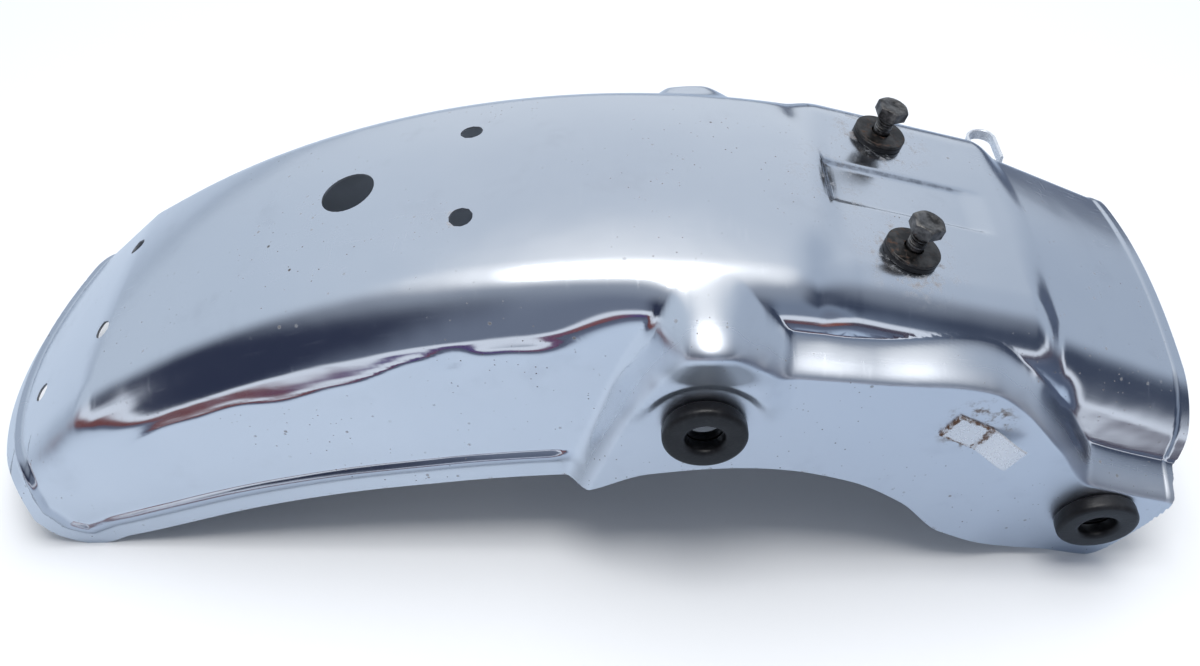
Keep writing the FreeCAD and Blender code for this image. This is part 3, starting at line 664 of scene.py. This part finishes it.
def chrome():
    """Old bright plating: hazy, wavy, finely scratched and pitted, satin on the side plates.

    Grime lies round the bolts and along the rim; painted shade lies at the recess's rear end, along the bead
    and on the recess's walls, with a painted shadow by the clip.
    """
    made, shader, place = finish("pitted_chrome")
    haze = place.noise(9.0, 4.0, 0.6)
    patches = place.noise(34.0, 3.0, 0.65)
    grime_and_shade_noise = place.noise(170.0, 4.0, 0.7)
    scratches = place.stretched(26.0, 900.0, 160.0).noise(1.0, 3.0, 0.6).step(0.60, 0.72)
    scratches = scratches.larger(place.stretched(520.0, 40.0, 90.0).noise(1.0, 2.0, 0.5).step(0.64, 0.74))
    pits = place.specks(150.0, 0.16, 0.30).larger(place.specks(420.0, 0.20, 0.22))
    pits = pits * place.noise(16.0, 2.0).step(0.42, 0.66)
    right, left = (place.away(in_frame(crown_point(BOLT_X, side * BOLT_Y))) for _, side in SIDES)
    bolts = right.step(*BOLT_GRIME).larger(left.step(*BOLT_GRIME))
    # Painted shade: a dark spot at the recess's rear end.
    recess = place.away(in_frame(crown_point(RECESS_A + RECESS_END_IN, 0.0))).step(*RECESS_END_PAINTED_SHADE)
    # A painted shadow on the plating, just ahead of and above the clip.
    clip_shadow_spot, _ = plate_seat(CLIP_X + CLIP_SHADOW_AHEAD, CLIP_Z + CLIP_SHADOW_UP, -1.0)
    clip = place.away(in_frame(clip_shadow_spot)).step(*CLIP_PAINTED_SHADOW)
    # Grime round the bolts is real dirt; the spots at the recess's end and by the clip are painted shade and
    # shadow.
    stains_and_painted_shade = (bolts * 0.8).larger(recess * 0.4).larger(clip) * grime_and_shade_noise.step(0.50, 0.72)
    edge = place.attribute("rim_distance").step(1.8, 0.2)
    edge_rust = edge * grime_and_shade_noise.step(0.56, 0.70) * patches.step(0.5, 0.62)
    dirt_and_painted_shade = pits.larger(stains_and_painted_shade).larger(edge_rust)
    tint = haze.mix(CHROME_GREY, CHROME_BRIGHT)
    tint = (patches.step(0.55, 0.8) * 0.35).mix(tint, CHROME_DULL)
    # Painted shade: a darker, bluer tint along the bead.
    tint = (place.attribute("bead_share").step(0.05, 0.7) * 0.5).mix(tint, BEAD_PAINTED_SHADE)
    # Painted shade: the recess's walls are darkened in patches, less towards its front end.
    wall = place.attribute("recess_wall").step(0.1, 0.9) * (0.25 + grime_and_shade_noise.step(0.40, 0.62) * 0.45)
    tint = wall.mix(tint, RECESS_PAINTED_SHADE)
    brown = grime_and_shade_noise.step(0.35, 0.7).mix(DIRT_AND_SHADE_BLACK, DIRT_AND_SHADE_BROWN)
    facing_up = place.node("ShaderNodeNewGeometry", output="Normal").axis(2).step(0.55, 0.95)
    satin = place.axis(1).absolute().step(*SATIN_Y)
    rough = 0.085 + haze.step(0.35, 0.75) * 0.07 + scratches * 0.05 + patches.step(0.5, 0.8) * 0.05
    rough = rough + facing_up * 0.10 + satin * 0.24 + stains_and_painted_shade.larger(edge_rust) * 0.3
    waves = place.noise(21.0, 1.0) + place.noise(60.0, 1.0) * 0.16
    drive(shader, Base_Color=(dirt_and_painted_shade * 0.93).mix(tint, brown), Metallic=1.0 - dirt_and_painted_shade * 0.8, Roughness=rough,
          Normal=waves.bump(0.30, 0.0022))
    return made


def inner_plating():
    """Hidden side and rim: dull plating with a grey bloom and rust."""
    made, shader, place = finish("dull_inner_plating")
    bloom = place.noise(30.0, 5.0, 0.65)
    rust = place.noise(75.0, 5.0, 0.7).step(0.60, 0.74)
    colour = rust.mix(bloom.mix(BLOOM_DARK, BLOOM_PALE), INNER_RUST)
    drive(shader, Base_Color=colour, Metallic=0.85 - rust * 0.6, Roughness=0.36 + bloom * 0.16 + rust * 0.2,
          Normal=bloom.bump(0.2, 0.001))
    return made


def rubber():
    """Black bush rubber with dust in its pores."""
    made, shader, place = finish("black_rubber")
    dust = place.noise(240.0, 5.0, 0.7).step(0.45, 0.8)
    worn = place.noise(45.0, 3.0, 0.6).step(0.45, 0.75)
    colour = (dust * 0.5 + worn * 0.35).mix(RUBBER_BLACK, RUBBER_DUSTY)
    drive(shader, Base_Color=colour, Roughness=0.34 + dust * 0.2 + worn * 0.12, Specular_IOR_Level=0.32,
          Normal=place.noise(900.0, 3.0, 0.7).bump(0.25, 0.0004))
    return made


def dark_steel(name, rust_share, shine):
    """Oxidised steel: worn grey on dark, with rust in patches."""
    made, shader, place = finish(name)
    wear = place.noise(190.0, 5.0, 0.65)
    rust = place.noise(330.0, 5.0, 0.75).step(0.62 - rust_share, 0.76 - rust_share)
    worn = tuple(shine * value for value in WORN_STEEL)
    colour = rust.mix(wear.step(0.35, 0.7).mix(OXIDE, worn), STEEL_RUST)
    drive(shader, Base_Color=colour, Metallic=0.95 - rust * 0.75, Roughness=0.30 + wear * 0.2 + rust * 0.3,
          Normal=(wear + rust * 0.6).bump(0.35, 0.0004))
    return made


def strap_plating(name, root, ahead, half_length, half_width):
    """Dull plating on a bent strap, rusty along the rim of its welded base, with sizes in millimetres."""
    made, shader, place = finish(name)
    grain = place.noise(420.0, 5.0, 0.7)
    aside = Vector(ahead).cross((0.0, 1.0, 0.0))
    along_base, across_base = (place.offset_along(root, direction) for direction in (ahead, aside))
    rim = (along_base / (half_length * MM)).larger(across_base / (half_width * MM))
    rust = (rim.step(0.60, 0.95) * rim.step(1.5, 1.1) * 0.38 + grain).step(0.74, 0.94)
    colour = rust.mix(grain.mix(STRAP_GREY, STRAP_PALE), STRAP_RUST)
    drive(shader, Base_Color=colour, Metallic=0.55 - rust * 0.45,
          Roughness=0.22 + grain * 0.12 + rust * 0.4, Normal=(grain + rust * 0.5).bump(0.12, 0.0004))
    return made


class Shape:
    """A Geometry Nodes tree with named inputs that ends in Realize Instances and Set Material."""

    def __init__(self, name, *sizes):
        self.tree = bpy.data.node_groups.new(name, "GeometryNodeTree")
        self.tree.is_modifier = True
        self.tree.interface.new_socket("Geometry", in_out="OUTPUT", socket_type="NodeSocketGeometry")
        kinds = {label: "NodeSocketFloat" for label in sizes}
        kinds.update(seat="NodeSocketVector", turn="NodeSocketVector", finish="NodeSocketMaterial")
        self.identifiers = {}
        for label, kind in kinds.items():
            self.identifiers[label] = self.tree.interface.new_socket(label, socket_type=kind).identifier
        self.given = self.tree.nodes.new("NodeGroupInput").outputs

    def add(self, kind, settings=None, **inputs):
        return add_node(self.tree, kind, settings, inputs).outputs[0]

    def end(self, geometry):
        """Set the geometry on its seat, realize and paint it."""
        moved = self.add("GeometryNodeTransform", Geometry=geometry, Translation=self.given["seat"],
                         Rotation=self.given["turn"])
        whole = self.add("GeometryNodeRealizeInstances", Geometry=moved)
        painted = self.add("GeometryNodeSetMaterial", Geometry=whole, Material=self.given["finish"])
        self.tree.links.new(painted, self.tree.nodes.new("NodeGroupOutput").inputs[0])
        return self

    def mesh(self, **values):
        """Evaluate the tree with these values, in metres, as a plain mesh."""
        holder = bpy.data.objects.new("holder", bpy.data.meshes.new("holder"))
        bpy.context.scene.collection.objects.link(holder)
        modifier = holder.modifiers.new("shape", "NODES")
        modifier.node_group = self.tree
        for label, value in values.items():
            modifier[self.identifiers[label]] = value
        bpy.context.view_layer.update()
        depsgraph = bpy.context.evaluated_depsgraph_get()
        made = bpy.data.meshes.new_from_object(holder.evaluated_get(depsgraph), depsgraph=depsgraph)
        bpy.data.objects.remove(holder)
        return made


def ring_shape():
    """A ring of rectangular section with rounded edges, for washers and bushes."""
    shape = Shape("rounded_ring", "middle_radius", "width", "thickness", "edge_round")
    circle = shape.add("GeometryNodeCurvePrimitiveCircle", Resolution=RING_STEPS,
                       Radius=shape.given["middle_radius"])
    upright = shape.add("GeometryNodeSetCurveNormal", {"mode": "Z_UP"}, Curve=circle)
    box = shape.add("GeometryNodeCurvePrimitiveQuadrilateral", Width=shape.given["width"],
                    Height=shape.given["thickness"])
    profile = shape.add("GeometryNodeFilletCurve", {"mode": "POLY"}, Curve=box, Count=FILLET_STEPS,
                        Radius=shape.given["edge_round"])
    return shape.end(shape.add("GeometryNodeCurveToMesh", Curve=upright, Profile_Curve=profile))


def thread_shape():
    """A screw thread: a small three-sided profile swept along a helix."""
    shape = Shape("screw_thread", "radius", "depth", "turns", "length")
    helix = shape.add("GeometryNodeCurveSpiral", Resolution=THREAD_STEPS, Rotations=shape.given["turns"],
                      Start_Radius=shape.given["radius"], End_Radius=shape.given["radius"],
                      Height=shape.given["length"])
    profile = shape.add("GeometryNodeCurvePrimitiveCircle", Resolution=3, Radius=shape.given["depth"])
    swept = shape.add("GeometryNodeCurveToMesh", Curve=helix, Profile_Curve=profile, Fill_Caps=True)
    return shape.end(swept)


def joined(name, *meshes):
    """One mesh from several, smooth but for its sharp edges."""
    built = bmesh.new()
    for mesh in meshes:
        built.from_mesh(mesh)
    bmesh.ops.recalc_face_normals(built, faces=built.faces)
    mesh = bpy.data.meshes.new(name)
    built.to_mesh(mesh)
    built.free()
    mesh.materials.clear()
    mesh.polygons.foreach_set("material_index", np.zeros(len(mesh.polygons), int))
    mesh.polygons.foreach_set("use_smooth", np.ones(len(mesh.polygons), bool))
    mesh.set_sharp_from_angle(angle=SHARP_EDGE)
    return mesh


def ringed(rings):
    """A closed mesh through rings of points, in metres, with a cap on the first and the last."""
    count, sides = rings.shape[:2]
    faces = [tuple(range(sides - 1, -1, -1)), tuple(range((count - 1) * sides, count * sides))]
    for row in range(count - 1):
        for k in range(sides):
            a, b = row * sides + k, row * sides + (k + 1) % sides
            faces.append((a, b, b + sides, a + sides))
    mesh = bpy.data.meshes.new("ringed")
    mesh.from_pydata(rings.reshape(-1, 3).tolist(), [], faces)
    return mesh


def turned(rows, matrix):
    """A closed body from rows of (radius by angle, height), from its bottom to its top, in millimetres."""
    steps = len(rows[0][0])
    angles = np.arange(steps) * 2.0 * math.pi / steps
    rings = []
    for radius, height in rows:
        height = np.broadcast_to(height, radius.shape)
        rings.append(np.stack([radius * np.cos(angles), radius * np.sin(angles), height], 1))
    mesh = ringed(np.stack(rings) * MM)
    mesh.transform(matrix)
    return mesh


def seat_matrix(point, normal):
    """Place of a piece that stands on a point, with its axis along the normal."""
    facing = Vector(normal).to_track_quat("Z", "Y")
    return Matrix.Translation(in_frame(point)) @ facing.to_matrix().to_4x4()


def seated(shape, matrix, at, **sizes):
    """Evaluate a shape at a height above a seat, with its sizes in millimetres."""
    place = matrix @ Matrix.Translation((0.0, 0.0, at * MM))
    values = {label: value if label == "turns" else value * MM for label, value in sizes.items()}
    return shape.mesh(seat=tuple(place.translation), turn=tuple(place.to_euler()), **values)


RING, THREAD = ring_shape(), thread_shape()


def ring(matrix, outer, inner, bottom, thickness, edge_round):
    """A rounded ring between two diameters, standing on a height above its seat."""
    return seated(RING, matrix, bottom + thickness / 2.0, middle_radius=(outer + inner) / 4.0,
                  width=(outer - inner) / 2.0, thickness=thickness, edge_round=edge_round)


def grommet(name, matrix):
    """Rubber bush: a thick rounded flange outside, a neck in the hole and a thin flange behind."""
    flange = ring(matrix, GROMMET, GROMMET_BORE, 0.0, GROMMET_PROUD, GROMMET_ROUND)
    neck = ring(matrix, GROMMET_NECK, GROMMET_BORE, -SHEET - NECK_PAST, SHEET + 2.0 * NECK_PAST, NECK_ROUND)
    back = ring(matrix, GROMMET_BACK, GROMMET_BORE, -SHEET - BACK_THICK, BACK_THICK, BACK_ROUND)
    return joined(name, flange, neck, back)


def hex_radius(flats):
    """Distance from the centre to the side of a hexagon, all the way round."""
    angles = np.arange(HEX_STEPS) * 2.0 * math.pi / HEX_STEPS
    return 0.5 * flats / np.cos(np.mod(angles, math.pi / 3.0) - math.pi / 6.0)


def mount_bolt(name, matrix):
    """Hex bolt with a turned bevel and a shallow dish on its head and a real thread on its shank."""
    stack = RUBBER_WASHER + STEEL_WASHER
    under = stack + SHANK_SHOWN
    top = under + HEAD_HEIGHT
    foot = -SHEET - NUT_HEIGHT - THREAD_PAST
    side = hex_radius(HEAD_FLATS)
    face = np.minimum(side, HEAD_FACE_SHARE * HEAD_FLATS)
    bevel = (side - face) * math.tan(HEAD_BEVEL)
    dish = HEAD_DISH_SHARE * face
    head = turned([(HEAD_FOOT_SHARE * side, under), (side, under + HEAD_FOOT_HIGH), (side, top - bevel),
                   (face, top), (dish, top), (dish - DISH_IN, top - DISH_DEEP)], matrix)
    core = np.full(SHANK_STEPS, 0.5 * THREAD_DIAMETER - THREAD_CUT)
    shank = turned([(core - SHANK_BEVEL, foot), (core, foot + SHANK_BEVEL), (core, under)], matrix)
    length = SHANK_SHOWN - 2.0 * THREAD_CLEAR
    thread = seated(THREAD, matrix, stack + THREAD_CLEAR, radius=0.5 * THREAD_DIAMETER - THREAD_SINK,
                    depth=THREAD_TOOTH, turns=length / THREAD_PITCH, length=length)
    return joined(name, head, shank, thread)


def weld_nut(name, matrix):
    side = hex_radius(HEAD_FLATS)
    bottom = -SHEET - NUT_HEIGHT
    rows = [(NUT_FOOT_SHARE * side, bottom), (side, bottom + NUT_FOOT_HIGH), (side, -SHEET)]
    return joined(name, turned(rows, matrix))


def bent_strap(name, path, across, width, metal):
    """A strip of metal along a path of points, in millimetres, as wide as given along one direction."""
    path = np.array(path)
    across = unit(np.array(across))
    out = unit(np.cross(np.gradient(path, axis=0), across))
    half, soft = 0.5 * width, STRAP_EDGE_SHARE * metal
    section = [(-half, soft), (-half + soft, 0.0), (half - soft, 0.0), (half, soft), (half, metal - soft),
               (half - soft, metal), (-half + soft, metal), (-half, metal - soft)]
    rings = np.stack([path + a * across + b * out for a, b in section], 1)
    return joined(name, ringed((rings[::-1] + SET_DOWN) * MM))


def harness_clip():
    """Flat base on the right plate and a tongue that lifts off towards the front, with its finish."""
    seat, normal = plate_seat(CLIP_X, CLIP_Z, -1.0)
    ahead = np.array([math.cos(CLIP_TURN), 0.0, math.sin(CLIP_TURN)])
    half = 0.5 * CLIP_LENGTH
    run = np.linspace(-half, half + TONGUE, CLIP_STEPS)
    lift = TONGUE_RISE * smooth(half, half + TONGUE, run)
    path = seat + run[:, None] * ahead + lift[:, None] * normal
    mesh = bent_strap("harness_clip", path, np.cross(normal, ahead), CLIP_WIDTH, CLIP_METAL)
    return mesh, strap_plating("clip_plating", in_frame(seat), Vector(ahead), half, 0.5 * CLIP_WIDTH)


def harness_loop():
    """Strap bent to a U that stands out from the left shoulder wall, with its finish."""
    radius = 0.5 * LOOP_WIDE - LOOP_METAL
    centre = BODY_HALF + LOOP_REACH - 0.5 * LOOP_WIDE
    leg = np.linspace(BODY_HALF - LOOP_ROOT, centre, LEG_STEPS)
    bend = np.linspace(0.0, math.pi, LOOP_STEPS)[1:-1]
    path = [(LOOP_X + radius, y, LOOP_Z) for y in leg]
    path += [(LOOP_X + radius * math.cos(a), centre + radius * math.sin(a), LOOP_Z) for a in bend]
    path += [(LOOP_X - radius, y, LOOP_Z) for y in leg[::-1]]
    mesh = bent_strap("harness_loop", path, (0.0, 0.0, 1.0), LOOP_STRIP, LOOP_METAL)
    root = in_frame((LOOP_X, BODY_HALF, LOOP_Z))
    return mesh, strap_plating("loop_plating", root, Vector((1.0, 0.0, 0.0)), LOOP_RUST, LOOP_RUST)


RUBBER = rubber()
BOLT_STEEL = dark_steel("oxidised_bolt", rust_share=0.02, shine=1.0)
WASHER_STEEL = dark_steel("rusty_washer", rust_share=0.10, shine=0.45)

add_piece("mudguard_shell", sheet_mesh(), [chrome(), inner_plating()], ["mudguard_sheet"])
for label, side in SIDES:
    for spot, x, z in (("middle", EAR_X, EAR_Z), ("front", FRONT_X, FRONT_Z)):
        name = f"{label}_{spot}_grommet"
        bush = grommet(name, seat_matrix(*plate_seat(x, z, side)))
        add_piece(f"{name}_bush", bush, [RUBBER], [name])
    seat = seat_matrix(*crown_seat(BOLT_X, side * BOLT_Y))
    pad = joined("pad", ring(seat, WASHER, BOLT_HOLE, 0.0, RUBBER_WASHER, RUBBER_ROUND))
    add_piece(f"{label}_washer_pad", pad, [RUBBER], [f"{label}_rubber_washer"])
    plate = joined("plate", ring(seat, WASHER, BOLT_HOLE, RUBBER_WASHER, STEEL_WASHER, STEEL_ROUND))
    add_piece(f"{label}_washer_plate", plate, [WASHER_STEEL], [f"{label}_steel_washer"])
    bolt, nut = mount_bolt("bolt", seat), weld_nut("nut", seat)
    add_piece(f"{label}_hex_bolt", bolt, [BOLT_STEEL], [f"{label}_mount_bolt"])
    add_piece(f"{label}_nut", nut, [BOLT_STEEL], [f"{label}_weld_nut"])
clip, clip_finish = harness_clip()
add_piece("clip_strip", clip, [clip_finish], ["right_harness_clip"])
loop, loop_finish = harness_loop()
add_piece("loop_strap", loop, [loop_finish], ["left_harness_loop"])

# Colours of the studio, as linear red, green and blue, and its sizes in metres.
STUDIO_WHITE = (0.92, 0.925, 0.93)
FLOOR_REAR, FLOOR_MIDDLE = (0.54, 0.60, 0.675), (0.43, 0.50, 0.60)
FLOOR_FRONT, FLOOR_NEAR = (0.08, 0.10, 0.15), (0.15, 0.17, 0.23)
FAR_LOW, FAR_HIGH = (0.72, 0.78, 0.86), (0.58, 0.645, 0.74)
FAR_REAR, FAR_FRONT = (0.55, 0.63, 0.74), (0.42, 0.49, 0.60)
ROOM_REAR, ROOM_MIDDLE = (0.030, 0.038, 0.072), (0.17, 0.20, 0.27)
ROOM_AHEAD, ROOM_FRONT = (0.20, 0.245, 0.33), (0.05, 0.065, 0.105)
LINE_REAR, LINE_PURPLE = (0.17, 0.055, 0.055), (0.095, 0.07, 0.19)
LINE_BROWN, LINE_FRONT = (0.24, 0.085, 0.07), (0.075, 0.065, 0.095)
GAP_PALE, ROOM_HIGH, CEILING = (0.76, 0.81, 0.90), (0.30, 0.34, 0.41), (0.95, 0.97, 1.0)
FLOOR_SIZE, FLOOR_HEIGHT = 8.0, -0.0005
LENS, SENSOR, CAMERA_TILT, CAMERA_PLACE = 33.9, 36.0, math.radians(44.0), (0.0167, -0.3886, 0.4661)


def pale_floor():
    """White to the camera. In the plating's reflections grey-blue, and dark near the camera and the front."""
    made, shader, place = finish("pale_floor")
    mirrored = place.axis(0).graded(FLOOR_REAR, (-0.15, 0.30, FLOOR_MIDDLE), (0.30, 0.50, FLOOR_FRONT))
    mirrored = place.axis(1).graded(mirrored, (-0.40, -1.10, FLOOR_NEAR))
    glossy = place.node("ShaderNodeLightPath", output="Is Glossy Ray")
    drive(shader, Base_Color=glossy.mix(STUDIO_WHITE, mirrored), Roughness=0.95, Specular_IOR_Level=0.1)
    return made


def studio_sky():
    """What the plating reflects: a pale far side, a bright ceiling and a dark room behind the camera.

    A warm, wavy line lies at the room's horizon with a pale gap over it. The camera itself sees plain white.
    """
    world = bpy.data.worlds.new("studio")
    bpy.context.scene.world = world
    world.use_nodes = True
    tree = world.node_tree
    ray = Sockets(tree, tree.nodes.new("ShaderNodeTexCoord").outputs["Generated"])
    ahead, across, up = ray.axis(0), ray.axis(1), ray.axis(2)
    far = up.graded(FAR_LOW, (0.0, 0.8, FAR_HIGH))
    far = ahead.graded(far, (-0.15, -0.75, FAR_REAR), (0.38, 0.80, FAR_FRONT))
    dark = ahead.graded(ROOM_REAR, (-0.42, -0.16, ROOM_MIDDLE), (0.12, 0.40, ROOM_AHEAD),
                        (0.42, 0.62, ROOM_FRONT))
    warm = ahead.graded(LINE_REAR, (-0.34, -0.16, LINE_PURPLE), (-0.12, 0.02, LINE_BROWN),
                        (0.15, 0.42, LINE_FRONT))
    shelf = up + (ray.noise(5.0, 3.0) - 0.5) * 0.10
    room = shelf.graded(warm, (0.05, 0.09, GAP_PALE), (0.16, 0.24, dark))
    room = up.graded(room, (0.45, 0.85, ROOM_HIGH))
    sky = across.graded(room, (-0.30, 0.15, far))
    sky = up.graded(sky, (0.80, 0.97, CEILING))
    seen = ray.node("ShaderNodeLightPath", output="Is Camera Ray").mix(sky, STUDIO_WHITE)
    tree.links.new(seen.socket, tree.nodes["Background"].inputs["Color"])
    tree.nodes["Background"].inputs["Strength"].default_value = 1.0


def area_light(name, size, place, target, energy, mirrored):
    """A rectangular light, in metres and watts, that the plating mirrors or doesn't."""
    lamp = bpy.data.lights.new(name, "AREA")
    lamp.shape, lamp.energy = "RECTANGLE", energy
    lamp.size, lamp.size_y = size
    made = bpy.data.objects.new(name, lamp)
    made.location = place
    made.rotation_euler = (Vector(target) - Vector(place)).to_track_quat("-Z", "Y").to_euler()
    made.visible_glossy = mirrored
    bpy.context.scene.collection.objects.link(made)


bpy.ops.mesh.primitive_plane_add(size=FLOOR_SIZE, location=(0.0, 0.0, FLOOR_HEIGHT))
floor = bpy.context.object
floor.name = "floor"
floor.data.materials.append(pale_floor())
studio_sky()
area_light("ceiling_bar", size=(0.62, 0.50), place=(0.02, -0.20, 1.35), target=(0.03, -0.02, 0.15),
           energy=9.0, mirrored=True)
area_light("floor_fill", size=(2.2, 1.4), place=(0.0, 0.6, 2.4), target=(0.0, -0.1, 0.0),
           energy=18.0, mirrored=False)

lens = bpy.data.cameras.new("photo_camera")
lens.lens, lens.sensor_width = LENS, SENSOR
camera = bpy.data.objects.new("photo_camera", lens)
camera.location = CAMERA_PLACE
camera.rotation_euler = (CAMERA_TILT, 0.0, 0.0)
bpy.context.scene.collection.objects.link(camera)
bpy.context.scene.camera = camera
bpy.context.scene.view_settings.view_transform = "Standard"
